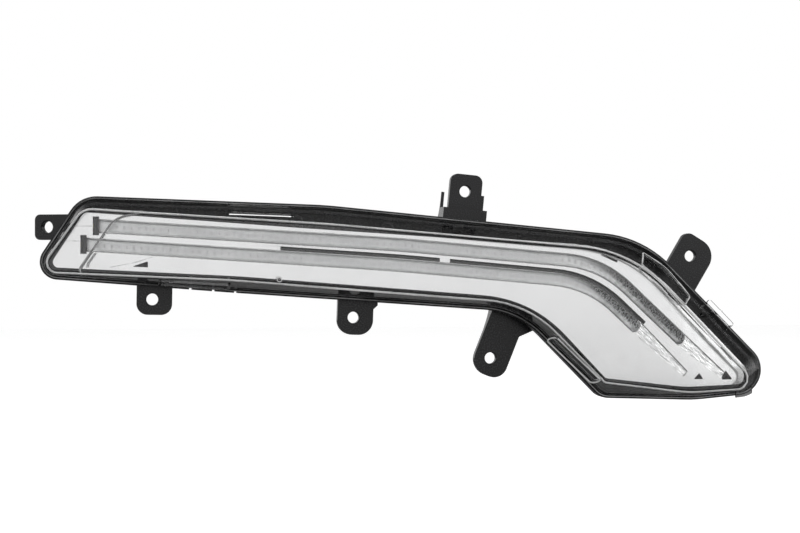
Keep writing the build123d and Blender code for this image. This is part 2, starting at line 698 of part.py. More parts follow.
def rim_face(corners):
    """The face of a narrow rim just inside an outline."""
    return outline(corners) - outline(inset(corners, RIM_WIDTH))


def box_rim(x_span, z_span):
    """A raised rim across the skirt, like the edge of a shallow tray."""
    inner_x = (x_span[0] + BOX_RIM_WIDTH, x_span[1] - BOX_RIM_WIDTH)
    inner_y = (RIM_FRONT + BOX_RIM_WIDTH, RIM_REAR - BOX_RIM_WIDTH)
    rim = box(x_span, (RIM_FRONT, RIM_REAR), z_span) - box(inner_x, inner_y, z_span)
    return lens_skin(BOX_RIM_RISE, rim)


def edge_path(corner, *places):
    """A path of straight runs through places given by their distances along and inward of a flange edge."""
    return [(*edge_point(corner, along, inward)[:2], 0.0) for along, inward in places]


def shoulder_ear():
    """A thin ear in front of the flange lip on the shoulder, and the arm down the skirt that carries it."""
    front, rear = FLANGE_FRONT - EAR_GAP - EAR_THICKNESS, FLANGE_FRONT - EAR_GAP
    corners = edge_path("shoulder", (EAR_START, -EAR_REACH), (EAR_END, -EAR_REACH), (EAR_END, EAR_ROOT),
                        (EAR_START, EAR_ROOT))
    ear = slab(outline([(x, z, EAR_RADIUS) for x, z, _ in corners]), front, rear)
    end = (EAR_ARM_END, -EAR_REACH)
    climb = band(edge_path("shoulder", EAR_ARM_ROOT, end), EAR_ARM_WIDTH / 2)
    cross = band(edge_path("shoulder", EAR_ARM_BEND, end), EAR_ARM_WIDTH / 2)
    return ear + slab(cross, front, rear) + lens_skin(EAR_ARM_WIDTH, slab(climb, FACE_CROWN, rear))


def tail_ear():
    """A thin ear in front of the flange lip, round the lower side of the tail's end."""
    front, rear = FLANGE_FRONT - EAR_GAP - EAR_THICKNESS, FLANGE_FRONT - EAR_GAP
    ring = outline(inset(FLANGE, -TAIL_EAR_REACH)) - outline(inset(FLANGE, TAIL_EAR_ROOT))
    return slab(ring, front, rear) & box(TAIL_EAR_X, (front, rear), (ALL_Z[0], TAIL_EAR_TOP))


def lens_rib():
    """The curved rib inside the lens face, across the starts of the light guides."""
    rib = slab(band(LENS_RIB, LENS_RIB_WIDTH / 2), FACE_CROWN, FLANGE_FRONT)
    return rib & behind_face(FACE_WALL - 0.5, FACE_WALL + LENS_RIB_DEPTH) & lens_block(LENS_WALL / 2, 0)


def lens():
    """The clear cover: foot in the groove, skirt leaning in to the rim, face, rims, rib, gate and ears."""
    body = lens_block(0, 0)
    body = fillet(body.faces().sort_by(Axis.Y)[0].edges(), FACE_EDGE_RADIUS)
    body -= lens_block(LENS_WALL, FACE_WALL)
    middle = (ALL_Z[0] + ALL_Z[1]) / 2
    body += box_rim(TOP_RIM, (TOP_RIM_LOW, ALL_Z[1]))
    body += box_rim(BOTTOM_RIM, (middle, TOP_RIM_LOW))
    for corners in (HEEL_RIM, SHOULDER_RIM):
        body += lens_skin(RIM_RISE, slab(rim_face(corners), FACE_CROWN, RIM_REAR))
    body += lens_rib()
    gate = at(GATE_X, GATE_Z, slab(Circle(GATE_RADIUS), FACE_CROWN - 1, FLANGE_FRONT))
    body += gate & behind_face(-GATE_RISE, 1)
    body += shoulder_ear() + tail_ear()
    return body


# Bezel

def trough_paths():
    """For each guide: the guide's path and the path of its run-out."""
    runs = []
    for path, end in ((UPPER_PATH, UPPER_RUN_OUT), (LOWER_PATH, LOWER_RUN_OUT)):
        (bend_x, bend_z, _), (tip_x, tip_z, _) = path[-2:]
        start = ((bend_x + 2 * tip_x) / 3, (bend_z + 2 * tip_z) / 3, 0.0)
        runs.append((path, [start, (tip_x, tip_z, 60.0), (*end, 0.0)]))
    return runs


def slot_room():
    """The shadow slot just above the lower guide, left solid at its bridge."""
    start, bends, end = side_of_path(LOWER_PATH, -(GUIDE_WIDTH + SLOT_WIDTH) / 2 - GUIDE_GAP)
    room = slab(band([(*start, 0.0), *bends, (*end, 0.0)], SLOT_WIDTH / 2), FACE_CROWN, LEDGE_FRONT)
    room &= behind_face(BEZEL_DEPTH - 1, BEZEL_DEPTH + SLOT_DEPTH)
    room -= box((FLANGE[-1][0], SLOT_START_X), (FACE_CROWN, LEDGE_FRONT), ALL_Z)
    bridge = (SLOT_BRIDGE_X - SLOT_BRIDGE_LENGTH / 2, SLOT_BRIDGE_X + SLOT_BRIDGE_LENGTH / 2)
    return room - box(bridge, (FACE_CROWN, LEDGE_FRONT), ALL_Z)


def holder_room(path, gap):
    """The space of the guide holder's block at the start of a guide, with a gap all round."""
    x, z, _ = path[0]
    half = GUIDE_WIDTH / 2 + HOLDER_GAP + HOLDER_WALL + gap
    x_span = (x + HOLDER_SETBACK - gap, x + HOLDER_SETBACK + HOLDER_LENGTH + gap)
    return box(x_span, (FACE_CROWN, LEDGE_FRONT), (z - half, z + half))


def bezel_cuts():
    """The openings and fine grooves in the bezel's plate."""
    front = FACE_CROWN - 1
    cuts = []
    for x, z, length, width, angle in PLATE_SLOTS:
        slot = at(x, z, Rot(0, -angle, 0) * slab(Rectangle(length, width), front, LEDGE_FRONT))
        cuts.append(slot & behind_face(BEZEL_DEPTH - 1, BEZEL_DEPTH + PLATE_SLOT_DEPTH))
    for corners in PLATE_WEDGES:
        wedge = slab(outline(corners), front, LEDGE_FRONT)
        cuts.append(wedge & behind_face(BEZEL_DEPTH - 1, BEZEL_DEPTH + BEZEL_PLATE + 1))
    for path in PLATE_GROOVES:
        groove = slab(band(path, GROOVE_LINE_WIDTH / 2), front, LEDGE_FRONT)
        cuts.append(groove & behind_face(BEZEL_DEPTH - 1, BEZEL_DEPTH + GROOVE_LINE_DEPTH))
    return cuts


def bezel():
    """The bright moulding: plate, returns down to the ledge, two troughs, slots, lugs and pegs."""
    seat = LEDGE_FRONT
    front = FACE_CROWN - 1
    plate = slab(bezel_outline(), front, seat) & behind_face(BEZEL_DEPTH, BEZEL_DEPTH + BEZEL_PLATE)
    returns = slab(bezel_outline(RETURN_INSET), front, seat)
    returns -= slab(bezel_outline(RETURN_INSET + RETURN_WALL), front, seat)
    returns &= behind_face(BEZEL_DEPTH + BEZEL_PLATE / 2)
    body = plate + returns
    half = GUIDE_WIDTH / 2 + GUIDE_GAP
    for path, _ in trough_paths():
        block = slab(band(path, half + TROUGH_WALL, GUIDE_TIP_RADIUS + TROUGH_WALL), front, seat)
        body += block & behind_face(BEZEL_DEPTH + BEZEL_PLATE / 2, TROUGH_DEPTH + TROUGH_FLOOR)
    for path, run_out in trough_paths():
        room = slab(band(path, half, GUIDE_TIP_RADIUS + GUIDE_GAP), front, seat)
        body -= room & behind_face(BEZEL_DEPTH - 1, TROUGH_DEPTH)
        groove = slab(band(run_out, half, 1.0, RUN_OUT_TAPER), front, seat)
        body -= groove & behind_face(BEZEL_DEPTH - 1, BEZEL_DEPTH + RUN_OUT_DEPTH)
        body -= holder_room(path, GUIDE_GAP)
    body -= slot_room()
    body -= bezel_cuts()
    clearance = SCREW_RADIUS + CLEARANCE_HOLE_GAP
    for lug in BEZEL_LUGS:
        length = lug[3]
        plate = Pos(0, LUG_WIDTH / 2 - length / 2) * Rectangle(LUG_WIDTH, length)
        plate = fillet(plate.vertices().group_by(Axis.Y)[-1], LUG_WIDTH / 2 - 0.5) - Circle(clearance)
        body += lug_place(lug, slab(plate, seat - LUG_THICKNESS, seat))
    for x, z in peg_points():
        body += at(x, z, slab(Circle(PEG_RADIUS), seat - 1, seat + PEG_LENGTH))
    return body


def bezel_screws():
    """The screws through the bezel's lugs into the bosses under the ledge."""
    return [lug_place(lug, screw(LEDGE_FRONT - LUG_THICKNESS, 1)) for lug in BEZEL_LUGS]


# Light guides

def light_guide(path):
    """A clear bar with a rounded front, and prism teeth across its rear face."""
    bar = slab(band(path, GUIDE_WIDTH / 2, GUIDE_TIP_RADIUS), FACE_CROWN, LEDGE_FRONT)
    bar &= behind_face(GUIDE_DEPTH, GUIDE_REAR)
    front_face = bar.faces().filter_by(lambda face: face.area > GUIDE_WIDTH * GUIDE_WIDTH).sort_by(Axis.Y)[0]
    start_x = path[0][0]
    crown = front_face.edges().filter_by(lambda edge: edge.center().X > start_x + TOOTH_END_MARGIN / 2)
    bar = fillet(crown, GUIDE_CROWN_RADIUS)
    line = path_line(path)
    tooth = extrude(make_face(Polyline((-TOOTH_WIDTH / 2, 0.5), (0, -TOOTH_DEPTH), (TOOTH_WIDTH / 2, 0.5),
                                       close=True)), amount=TOOTH_SPAN / 2, both=True)
    count = int((line.length - 2 * TOOTH_END_MARGIN) / TOOTH_PITCH) + 1
    cuts = []
    for number in range(count):
        share = (TOOTH_END_MARGIN + number * TOOTH_PITCH) / line.length
        here, way = line @ share, line % share
        turn = Rot(0, -math.degrees(math.atan2(way.Y, way.X)), 0)
        cuts.append(Pos(here.X, face_y(here.X, GUIDE_REAR), here.Y) * turn * tooth)
    return bar - cuts


# Light sources

def led_front(path):
    """The x of an LED's front, facing the guide's end."""
    return path[0][0] - LED_GAP


def board_rear(path):
    """The x of the rear of an LED board."""
    return led_front(path) - LED_HEIGHT - LED_BOARD_THICKNESS


def upper_pad_rear():
    """The x of the rear of the upper mounting pad."""
    return board_rear(UPPER_PATH) - PAD_THICKNESS


def lower_pad_rear():
    """The x of the rear of the lower mounting pad."""
    return board_rear(LOWER_PATH) - PAD_THICKNESS


def board_front_edge(path):
    """The y of the front edge of an LED board, just behind the bezel's plate."""
    return face_y(path[0][0], (GUIDE_DEPTH + GUIDE_REAR) / 2) - LED_EDGE_MARGIN


def board_span(path):
    """The lower and upper z of an LED board."""
    return path[0][1] - LED_BOARD_HEIGHT / 2, path[0][1] + LED_BOARD_HEIGHT / 2


def led_screw(path, radius_gap=None):
    """The screw of an LED board, or its hole when a gap is given."""
    seat = board_rear(path) + LED_BOARD_THICKNESS
    if radius_gap is None:
        tool = screw(0, -1, BOARD_SCREW_RADIUS, BOARD_SCREW_HEAD_RADIUS, BOARD_SCREW_HEAD_HEIGHT,
                     LED_BOARD_THICKNESS + PAD_THICKNESS - 0.4)
    else:
        tool = slab(Circle(BOARD_SCREW_RADIUS + radius_gap), -PAD_THICKNESS - 3, 1)
    y = board_front_edge(path) + LED_SCREW_PLACE
    return Pos(seat, y, path[0][1]) * Rot(0, 0, -90) * tool


def led_board(path):
    """A small aluminium backed board that stands across the guide's axis."""
    rear = board_rear(path)
    y_span = (board_front_edge(path), NECK_FRONT - LED_BOARD_NECK_GAP)
    board = box((rear, rear + LED_BOARD_THICKNESS), y_span, board_span(path))
    return board - led_screw(path, SCREW_HOLE_GAP)


def led(path):
    """The light source: a square package with a round lens that faces the guide's end."""
    x, z, _ = path[0]
    y = face_y(x, (GUIDE_DEPTH + GUIDE_REAR) / 2)
    front, half = led_front(path), LED_SIDE / 2
    package = box((front - LED_HEIGHT, front - LED_HEIGHT * 0.4), (y - half, y + half), (z - half, z + half))
    lens_part = Pos(front - LED_HEIGHT * 0.2, y, z) * Rot(0, 90, 0) * Cylinder(half * 0.85, LED_HEIGHT * 0.4)
    return package + lens_part


def guide_holder():
    """The black block that both guides start from, joined by a web behind the troughs."""
    front = BEZEL_DEPTH + GUIDE_GAP
    web_front = TROUGH_DEPTH + TROUGH_FLOOR + GUIDE_GAP
    blocks = holder_room(UPPER_PATH, 0) + holder_room(LOWER_PATH, 0)
    blocks &= behind_face(front, web_front + HOLDER_WEB)
    half = GUIDE_WIDTH / 2 + HOLDER_GAP + HOLDER_WALL
    left, right = LOWER_PATH[0][0] + HOLDER_SETBACK, UPPER_PATH[0][0] + HOLDER_SETBACK
    top, bottom = UPPER_PATH[0][1] + half, LOWER_PATH[0][1] - half
    step = LOWER_PATH[0][1] + half
    web = outline([(left, step, 0), (right, step, 0), (right, top, 0), (right + HOLDER_LENGTH, top, 0),
                   (right + HOLDER_LENGTH, bottom, 0), (left, bottom, 0)])
    blocks += slab(web, FACE_CROWN, LEDGE_FRONT) & behind_face(web_front, web_front + HOLDER_WEB)
    for path in (UPPER_PATH, LOWER_PATH):
        room = slab(band(path, GUIDE_WIDTH / 2 + HOLDER_GAP), FACE_CROWN, LEDGE_FRONT)
        x, z, _ = path[0]
        room += box((x - 3, x + 1), (FACE_CROWN, LEDGE_FRONT), (z - GUIDE_WIDTH / 2, z + GUIDE_WIDTH / 2))
        blocks -= room & behind_face(GUIDE_DEPTH - HOLDER_GAP, GUIDE_REAR + HOLDER_GAP)
    return blocks


# Heat sink

def heat_sink():
    """The aluminium part: two pads inside the nose, a neck through the floor, and a finned base behind."""
    base_front = BODY_REAR + GASKET_THICKNESS
    base = slab(outline(SINK_OUTLINE), base_front, base_front + SINK_BASE)
    fins = []
    left, right = SINK_OUTLINE[3][0], SINK_OUTLINE[1][0]
    count = int((right - left) / FIN_PITCH)
    for number in range(count):
        x = right - FIN_THICKNESS - number * FIN_PITCH
        fins.append(box((x, x + FIN_THICKNESS), (base_front + 1, base_front + SINK_BASE + FIN_HEIGHT), ALL_Z))
    keep = slab(outline(inset(SINK_OUTLINE, 1)), base_front, base_front + SINK_BASE + FIN_HEIGHT)
    for fin in fins:
        base += fin & keep
    for x, z in SINK_SCREWS:
        seat = base_front + SINK_BASE
        base -= at(x, z, slab(Circle(SCREW_HEAD_RADIUS + 1.5), seat, seat + FIN_HEIGHT + 1))
        base -= at(x, z, slab(Circle(SCREW_RADIUS + CLEARANCE_HOLE_GAP), base_front - 1, seat + 1))
    lower, upper = lower_pad_rear(), upper_pad_rear()
    neck = (NECK_LOWER_EDGE, NECK_UPPER_EDGE)
    base += box((lower, lower + NECK_LENGTH_X), (NECK_FRONT, base_front + 1), neck)
    top = board_span(UPPER_PATH)[1]
    base += box((upper, upper + NECK_STEP), (NECK_FRONT, NECK_FRONT + NECK_STEP), (NECK_LOWER_EDGE, top))
    for path, rear in ((UPPER_PATH, upper), (LOWER_PATH, lower)):
        base += box((rear, rear + PAD_THICKNESS), (board_front_edge(path), NECK_FRONT + 1), board_span(path))
        base -= led_screw(path, SCREW_HOLE_GAP)
    return base


def heat_sink_gasket():
    """The flat seal between the heat sink's base and the body's rear."""
    pad = outline(inset(SINK_OUTLINE, 0.5)) - sink_opening(NECK_GAP)
    for x, z in SINK_SCREWS:
        pad -= Pos(x, z) * Circle(SCREW_RADIUS + 2 * CLEARANCE_HOLE_GAP)
    return slab(pad, BODY_REAR, BODY_REAR + GASKET_THICKNESS)


# Driver compartment

def post_spots():
    """The four posts of the driver board, round the cover's centre."""
    x_place = BOARD_LENGTH / 2 - POST_INSET
    z_place = BOARD_HEIGHT / 2 - POST_INSET
    return [(x, z) for x in (-x_place, x_place) for z in (-z_place, z_place)]


def pin_spots():
    """The middles of the connector pins, along the socket."""
    return [SOCKET_X + (number - (PIN_COUNT - 1) / 2) * PIN_PITCH for number in range(PIN_COUNT)]


def cover_floor():
    """The y of the inner face of the rear cover's floor."""
    return BODY_REAR + GASKET_THICKNESS + COVER_DEPTH - COVER_WALL


def rear_cover():
    """The black cover of the driver compartment, with the board's posts and the connector socket."""
    front = BODY_REAR + GASKET_THICKNESS
    floor = cover_floor()
    rear = front + COVER_DEPTH
    flange = RectangleRounded(COVER_LENGTH, COVER_HEIGHT, 4)
    for x, z in cover_screw_spots():
        flange -= Pos(x, z) * Circle(SCREW_RADIUS + CLEARANCE_HOLE_GAP)
    cover = slab(flange, front, front + COVER_FLANGE)
    shell = RectangleRounded(BAY_LENGTH + 2 * COVER_WALL, BAY_HEIGHT + 2 * COVER_WALL, 2 + COVER_WALL)
    cover += slab(shell, front, rear)
    socket = RectangleRounded(SOCKET_LENGTH, SOCKET_HEIGHT, 1.5)
    cover += Pos(SOCKET_X, 0, 0) * slab(socket, floor, rear + SOCKET_DEPTH)
    cover += box((SOCKET_X - 3, SOCKET_X + 3), (rear + SOCKET_DEPTH - 5, rear + SOCKET_DEPTH - 3),
                 (SOCKET_HEIGHT / 2 - 1, SOCKET_HEIGHT / 2 + 1.2))
    cover -= slab(RectangleRounded(BAY_LENGTH, BAY_HEIGHT, 2), front, floor)
    inner = Rectangle(SOCKET_LENGTH - 2 * SOCKET_WALL, SOCKET_HEIGHT - 2 * SOCKET_WALL)
    cover -= Pos(SOCKET_X, 0, 0) * slab(inner, rear + SOCKET_WALL, rear + SOCKET_DEPTH)
    for x, z in post_spots():
        cover += Pos(x, 0, z) * slab(Circle(POST_RADIUS), floor - POST_HEIGHT, floor)
        cover -= Pos(x, 0, z) * slab(Circle(BOARD_SCREW_RADIUS + SCREW_HOLE_GAP), floor - POST_HEIGHT,
                                     floor - BOARD_THICKNESS + BOARD_SCREW_LENGTH - POST_HEIGHT + 0.2)
    for x in pin_spots():
        hole = Rectangle(PIN_WIDTH + 2 * PIN_GAP, PIN_THICKNESS + 2 * PIN_GAP)
        cover -= Pos(x, 0, 0) * slab(hole, floor - 1, rear + SOCKET_WALL + 1)
    return on_cover(cover)


def rear_cover_gasket():
    """The flat seal under the rear cover's flange."""
    pad = RectangleRounded(COVER_LENGTH - 1, COVER_HEIGHT - 1, 3.5)
    pad -= RectangleRounded(BAY_LENGTH, BAY_HEIGHT, 2)
    for x, z in cover_screw_spots():
        pad -= Pos(x, z) * Circle(SCREW_RADIUS + 2 * CLEARANCE_HOLE_GAP)
    return on_cover(slab(pad, BODY_REAR, BODY_REAR + GASKET_THICKNESS))


def rear_screws():
    """The screws that hold the rear cover and the heat sink to the body."""
    seat = BODY_REAR + GASKET_THICKNESS
    return rear_screw_set(screw(seat + COVER_FLANGE, -1), screw(seat + SINK_BASE, -1))


def driver_board():
    """The circuit board on the cover's posts."""
    rear = cover_floor() - POST_HEIGHT
    board = RectangleRounded(BOARD_LENGTH, BOARD_HEIGHT, 1)
    for x, z in post_spots():
        board -= Pos(x, z) * Circle(BOARD_SCREW_RADIUS + 2 * SCREW_HOLE_GAP)
    for x in pin_spots():
        board -= Pos(x, 0) * Rectangle(PIN_WIDTH + 2 * PIN_GAP, PIN_THICKNESS + 2 * PIN_GAP)
    return on_cover(slab(board, rear - BOARD_THICKNESS, rear))


def board_front():
    """The y of the driver board's front, which carries its components."""
    return cover_floor() - POST_HEIGHT - BOARD_THICKNESS


def board_screws():
    """The small screws of the driver board and of the two LED boards."""
    small = screw(board_front(), 1, BOARD_SCREW_RADIUS, BOARD_SCREW_HEAD_RADIUS, BOARD_SCREW_HEAD_HEIGHT,
                  BOARD_SCREW_LENGTH)
    screws = [on_cover(Pos(x, 0, z) * small) for x, z in post_spots()]
    return screws + [led_screw(path) for path in (UPPER_PATH, LOWER_PATH)]


def connector_pins():
    """The contact blades, from the driver board through the cover's floor into the socket."""
    rear = cover_floor() + COVER_WALL + SOCKET_WALL + PIN_REACH
    blade = slab(Rectangle(PIN_WIDTH, PIN_THICKNESS), board_front() - 1, rear)
    return [on_cover(Pos(x, 0, 0) * blade) for x in pin_spots()]


def driver_inductor():
    """The choke: a round core with its winding, on a flat base."""
    front = board_front()
    core = slab(Circle(INDUCTOR_RADIUS), front - INDUCTOR_HEIGHT, front - 1)
    core = chamfer(core.edges(), 1.0)
    base = slab(RectangleRounded(2 * INDUCTOR_RADIUS + 1, 2 * INDUCTOR_RADIUS + 1, 2), front - 1.2, front)
    return on_cover(Pos(INDUCTOR_X, 0, 0) * (core + base))


def driver_capacitors():
    """Two standing capacitors."""
    front = board_front()
    can = slab(Circle(CAPACITOR_RADIUS), front - CAPACITOR_HEIGHT, front)
    can = chamfer(can.edges().sort_by(Axis.Y)[0], 0.5)
    spots = (-CAPACITOR_RADIUS - 0.6, CAPACITOR_RADIUS + 0.6)
    return [on_cover(Pos(CAPACITOR_X, 0, z) * can) for z in spots]


def driver_chip():
    """The controller: a square body with legs along two sides."""
    front = board_front()
    body = slab(Rectangle(CHIP_SIDE, CHIP_SIDE), front - 1.4, front - 0.2)
    body = chamfer(body.faces().sort_by(Axis.Y)[0].edges(), 0.3)
    for number in range(CHIP_LEGS):
        x = (number - (CHIP_LEGS - 1) / 2) * CHIP_SIDE / CHIP_LEGS
        body += box((x - 0.25, x + 0.25), (front - 0.8, front), (-CHIP_SIDE / 2 - 0.9, CHIP_SIDE / 2 + 0.9))
    return on_cover(Pos(CHIP_X, 0, 0) * body)


def led_flex():
    """Two flat ribbons from the LED boards round the floor's bosses to the driver board."""
    ribbons = []
    end_x = COVER_X - BOARD_LENGTH / 2 + FLEX_END_INSET
    for path, drop in ((UPPER_PATH, FLEX_DROP), (LOWER_PATH, 0.0)):
        x = board_rear(path) + LED_BOARD_THICKNESS + FLEX_THICKNESS / 2
        y = NECK_FRONT - 2.5
        route = [(x, y - 4, 0), (x, y, FLEX_RADIUS), (FLEX_TURN_X, y, FLEX_RADIUS),
                 (FLEX_TURN_X, FLEX_RUN_Y, FLEX_RADIUS), (end_x, FLEX_RUN_Y, FLEX_RADIUS),
                 (end_x, board_front(), 0)]
        z = path[0][1] - drop - FLEX_WIDTH / 2
        ribbons.append(Pos(0, 0, z) * extrude(band(route, FLEX_THICKNESS / 2), amount=FLEX_WIDTH))
    return ribbons


# Vent

def vent_membrane():
    """The breathing disc on the vent's boss."""
    seat = BODY_REAR + VENT_BOSS_HEIGHT
    return at(VENT_X, VENT_Z, slab(Circle(VENT_BOSS_RADIUS - 0.4), seat, seat + MEMBRANE_THICKNESS))


def vent_cap():
    """The cap over the vent, with four air grooves inside its skirt."""
    inner = VENT_BOSS_RADIUS + CAP_GAP
    front = BODY_REAR + 0.3
    roof = BODY_REAR + VENT_BOSS_HEIGHT + MEMBRANE_THICKNESS + 0.7
    cap = slab(Circle(inner + CAP_WALL), front, front + CAP_HEIGHT)
    cap = chamfer(cap.edges().sort_by(Axis.Y)[-1], 0.9)
    cap -= slab(Circle(inner), front, roof)
    for turn in range(4):
        groove = box((inner - 1, inner + 0.8), (front, roof), (-1, 1))
        cap -= Rot(0, 90 * turn, 0) * groove
    return at(VENT_X, VENT_Z, cap)


# Every sub-part under its node name

def nodes():
    """Each node's solid or solids."""
    return {
        "housing": housing(),
        "lens": lens(),
        "lens_seal": lens_seal(),
        "reflector_bezel": bezel(),
        "bezel_screws": bezel_screws(),
        "upper_light_guide": light_guide(UPPER_PATH),
        "lower_light_guide": light_guide(LOWER_PATH),
        "guide_holder": guide_holder(),
        "upper_led": led(UPPER_PATH),
        "lower_led": led(LOWER_PATH),
        "upper_led_board": led_board(UPPER_PATH),
        "lower_led_board": led_board(LOWER_PATH),
        "led_flex": led_flex(),
        "heat_sink": heat_sink(),
        "heat_sink_gasket": heat_sink_gasket(),
        "rear_cover": rear_cover(),
        "rear_cover_gasket": rear_cover_gasket(),
        "rear_screws": rear_screws(),
        "driver_board": driver_board(),
        "driver_inductor": driver_inductor(),
        "driver_capacitors": driver_capacitors(),
        "driver_chip": driver_chip(),
        "board_screws": board_screws(),
        "connector_pins": connector_pins(),
        "vent_membrane": vent_membrane(),
        "vent_cap": vent_cap(),
    }


os.makedirs("parts", exist_ok=True)
for name, shape in nodes().items():
    solids = [solid for piece in (shape if isinstance(shape, list) else [shape]) for solid in piece.solids()]
    export_step(solids[0] if len(solids) == 1 else Compound(children=solids), f"parts/{name}.step")
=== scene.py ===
import math

import bpy
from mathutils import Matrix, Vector


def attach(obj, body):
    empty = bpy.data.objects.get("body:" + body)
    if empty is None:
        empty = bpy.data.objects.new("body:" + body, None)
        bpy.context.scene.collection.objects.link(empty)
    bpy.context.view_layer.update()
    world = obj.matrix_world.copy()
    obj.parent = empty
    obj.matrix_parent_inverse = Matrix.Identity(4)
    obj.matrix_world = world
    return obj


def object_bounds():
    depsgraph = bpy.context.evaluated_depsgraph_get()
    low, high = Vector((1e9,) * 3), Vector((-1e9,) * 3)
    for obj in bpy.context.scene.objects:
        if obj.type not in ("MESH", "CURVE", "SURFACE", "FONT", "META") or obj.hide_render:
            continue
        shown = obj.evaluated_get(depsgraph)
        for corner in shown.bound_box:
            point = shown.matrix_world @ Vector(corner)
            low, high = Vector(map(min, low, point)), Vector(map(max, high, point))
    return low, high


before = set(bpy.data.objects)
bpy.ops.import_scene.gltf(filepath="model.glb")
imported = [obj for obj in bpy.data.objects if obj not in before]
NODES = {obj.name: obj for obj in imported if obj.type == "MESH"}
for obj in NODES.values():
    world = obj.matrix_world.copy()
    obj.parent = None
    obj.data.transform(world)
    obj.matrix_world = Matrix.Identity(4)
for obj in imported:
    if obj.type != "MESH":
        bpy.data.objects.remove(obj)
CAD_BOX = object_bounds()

# Looks of a daytime running light for the corner of a bumper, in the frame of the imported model: X from the
# nose to the tail, Y to the rear, Z up. Sizes are in metres, apart from the corners of the outlines, which
# are in millimetres. A wave count is per metre.

MM = 0.001

# Camera: long lens, a little to the left of the lamp's front
CAMERA_PLACE = (-0.2375, -1.1053, -0.0491)
CAMERA_TARGET = (-0.0465, -0.022, -0.0491)
CAMERA_LENS = 77.34
SENSOR_WIDTH = 36.0
CAMERA_CLIP = (0.05, 20.0)

# Soft lamps of the studio: place, width, height and power
LAMP_TARGET = (-0.05, 0.0, -0.06)
LAMPS = {
    "key": ((-0.9, -1.4, 1.2), 1.2, 0.9, 9.0),
    "fill": ((1.3, -1.2, 0.4), 0.9, 1.2, 4.0),
    "top": ((0.0, 0.3, 1.5), 1.6, 0.9, 6.0),
    "strip": ((-0.1, -0.75, 1.3), 2.4, 0.1, 5.0),
}

# Floor: how far it lies below the part, its size, its grey and finish, and its glow for the camera
FLOOR_DROP = 0.06
FLOOR_SIZE = 6.0
FLOOR_GREY = 0.7
FLOOR_ROUGHNESS = 0.9
FLOOR_GLOW = 0.62
# What metal and glass show of the floor near the part and far in front of it: y, glow and grey
FLOOR_NEAR = (-0.5, 0.05, 0.08)
FLOOR_FAR = (-1.1, 0.35, 0.7)

# World: its light on things, and what metal and glass show of it, which is darker from the horizon up
WORLD_LIGHT = 0.5
CEILING = 0.05
CEILING_START = 0.1
CEILING_END = 0.5

# Lens face: its front at the crown, its radius, and the x of the crown
FACE_CROWN = -48.0 * MM
FACE_RADIUS = 2000.0 * MM
FACE_CENTRE_X = -40.0 * MM

# The bezel's bright coating ends between these two places along Y, and on side walls at this depth
COATING_END = (-0.018, -0.0175)
WALL_COATING_END = (0.013, 0.0135)
# Depths behind the lens face of the shadow slot's floor, which is painted black as shade, and of the
# run-outs' floors
SLOT_FLOOR = (0.0114, 0.0116, 0.0124, 0.0126)
RUN_OUT_FLOOR = (0.0086, 0.0088, 0.0098, 0.01)
RUN_OUT_TURN = math.radians(40.0)
# A wall turns from a front into a side wall while its normal's Y runs between these two
SIDE_WALL = (-0.7, -0.5)

# Coating of the bezel: its mottle and polish, the streaks in the run-outs, and the black of the uncoated
# plastic, which also stands as painted shade on the shadow slot's floor
COATING_GREYS = (0.79, 0.83)
COATING_WAVES = 12.0
POLISH_WAVES = 90.0
COATING_ROUGH = (0.14, 0.2)
STREAK_GREYS = (0.5, 0.92)
STREAK_WAVES = 600.0
STREAK_STRETCH = (0.22, 1.0, 1.0)
STREAK_EDGE = (0.35, 0.65)
STREAK_BUMP = (0.6, 0.0004)
BARE_AND_SHADE_GREY = 0.012

# Sparkle at the light guides' ends: the way out across a guide, how far the sparkle's edge fades along that
# way, and for each guide how far out the edge lies, the x where it starts and the x where it is full
GUIDE_SIDE = (0.67, 0.743)
SPARKLE_EDGE = (-0.0015, 0.0005)
UPPER_SPARKLE = (0.0198, 0.075, 0.1)
LOWER_SPARKLE = (0.0052, 0.062, 0.08)
# Plastic of the guides, the dark reflections of their sparkle painted in as near-black flecks, and the dots
# along them
GUIDE_COLOUR = (0.95, 0.955, 0.955)
GUIDE_ROUGH = (0.28, 0.36)
SPARKLE_WAVES = 1050.0
SPARKLE_STRETCH = (1.0, 1.0, 0.7)
SPARKLE_PAINT_EDGE = (0.47, 0.49)
SPARKLE_BUMP = (0.4, 0.0003)
SPARKLE_PAINT_GREY = 0.01
DOT_WAVES = 380.0
DOT_COLOUR = (0.84, 0.845, 0.845)

# Grain of every opaque surface, and the polish and ripple of every clear one
GRAIN_BUMP = 0.35
CLEAR_WAVES = 30.0
RIPPLE_WAVES = 60.0
RIPPLE_BUMP = 0.2

# Edge of the lens face, in millimetres: x, z, bend radius
LENS_EDGE = [
    (-246.4, -13.0, 11.5),
    (-95.1, -22.1, 400.0),
    (102.1, -38.4, 93.0),
    (194.1, -129.5, 8.0),
    (141.4, -131.8, 100.0),
    (82.8, -124.3, 5.0),
    (31.0, -73.3, 72.0),
    (-156.8, -58.3, 600.0),
    (-274.5, -53.2, 7.0),
]
EDGE_INSET = 0.8
EDGE_BEAD = 0.00065
# Outer edge of the housing's flange, and the highlight painted as a lighter, patchy line along the front of
# its lip
FLANGE_EDGE = [
    (-247.7, -5.1, 19.0),
    (-94.9, -10.0, 250.0),
    (116.1, -29.9, 74.0),
    (218.4, -131.3, 17.0),
    (150.5, -137.2, 100.0),
    (86.7, -135.0, 13.0),
    (31.1, -78.6, 58.0),
    (-156.8, -65.4, 600.0),
    (-280.7, -55.8, 11.0),
]
LIP_FRONT = -22.0 * MM
LIP_INSET = 1.3
LIP_BEAD = 0.00035
